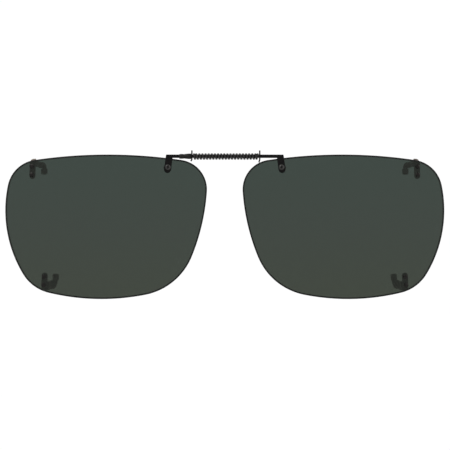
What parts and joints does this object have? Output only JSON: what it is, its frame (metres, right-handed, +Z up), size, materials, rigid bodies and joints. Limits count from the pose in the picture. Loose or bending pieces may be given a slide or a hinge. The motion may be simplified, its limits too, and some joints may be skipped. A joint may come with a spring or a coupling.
{
  "type": "clip-on sunglasses",
  "caption": "Rimless tinted clip-on sunglasses whose lenses pull apart on a sprung wire bridge so that small hooks grip the glasses behind.",
  "frame": {"origin": "midway between the lenses, at the height of their boxed centres, in the plane where the wearer's glasses rest", "axes": "+X towards the lens on the right as seen from the front, +Y back towards the wearer, +Z up"},
  "size_m": [0.1264, 0.0109, 0.0426],
  "materials": {
    "lens": "polished grey-green tint",
    "blackened_metal": "blackened, satin",
    "bronzed_metal": "dark bronze, satin",
    "spring_wire": "dark spring wire",
    "sleeve_vinyl": "smoky soft vinyl",
    "bush_nylon": "translucent natural nylon"
  },
  "bodies": {
    "left_side": {"left_lens": "lens", "left_upper_hook": "bronzed_metal", "left_upper_hook_sleeve": "sleeve_vinyl", "left_upper_hook_outer_rivet": "blackened_metal", "left_upper_hook_inner_rivet": "blackened_metal", "left_lower_hook": "bronzed_metal", "left_lower_hook_sleeve": "sleeve_vinyl", "left_lower_hook_outer_rivet": "blackened_metal", "left_lower_hook_inner_rivet": "blackened_metal", "left_arm": "blackened_metal", "left_arm_screw": "blackened_metal", "left_arm_nut": "blackened_metal", "left_arm_bush": "bush_nylon", "stop_bead": "blackened_metal", "right_end_plate": "blackened_metal", "bridge_spring": "spring_wire"},
    "right_side": {"right_lens": "lens", "right_upper_hook": "bronzed_metal", "right_upper_hook_sleeve": "sleeve_vinyl", "right_upper_hook_outer_rivet": "blackened_metal", "right_upper_hook_inner_rivet": "blackened_metal", "right_lower_hook": "bronzed_metal", "right_lower_hook_sleeve": "sleeve_vinyl", "right_lower_hook_outer_rivet": "blackened_metal", "right_lower_hook_inner_rivet": "blackened_metal", "right_arm": "blackened_metal", "right_arm_screw": "blackened_metal", "right_arm_nut": "blackened_metal", "right_arm_bush": "bush_nylon", "left_end_plate": "blackened_metal", "guide_collar": "blackened_metal"}
  },
  "joints": [
    {"name": "bridge_slide", "type": "slide", "parent": "left_side", "child": "right_side", "axis": [1, 0, 0], "range_m": [0, 0.007], "stiffness_N_per_m": 250, "springref_m": -0.004, "deforming": ["bridge_spring"]}
  ]
}
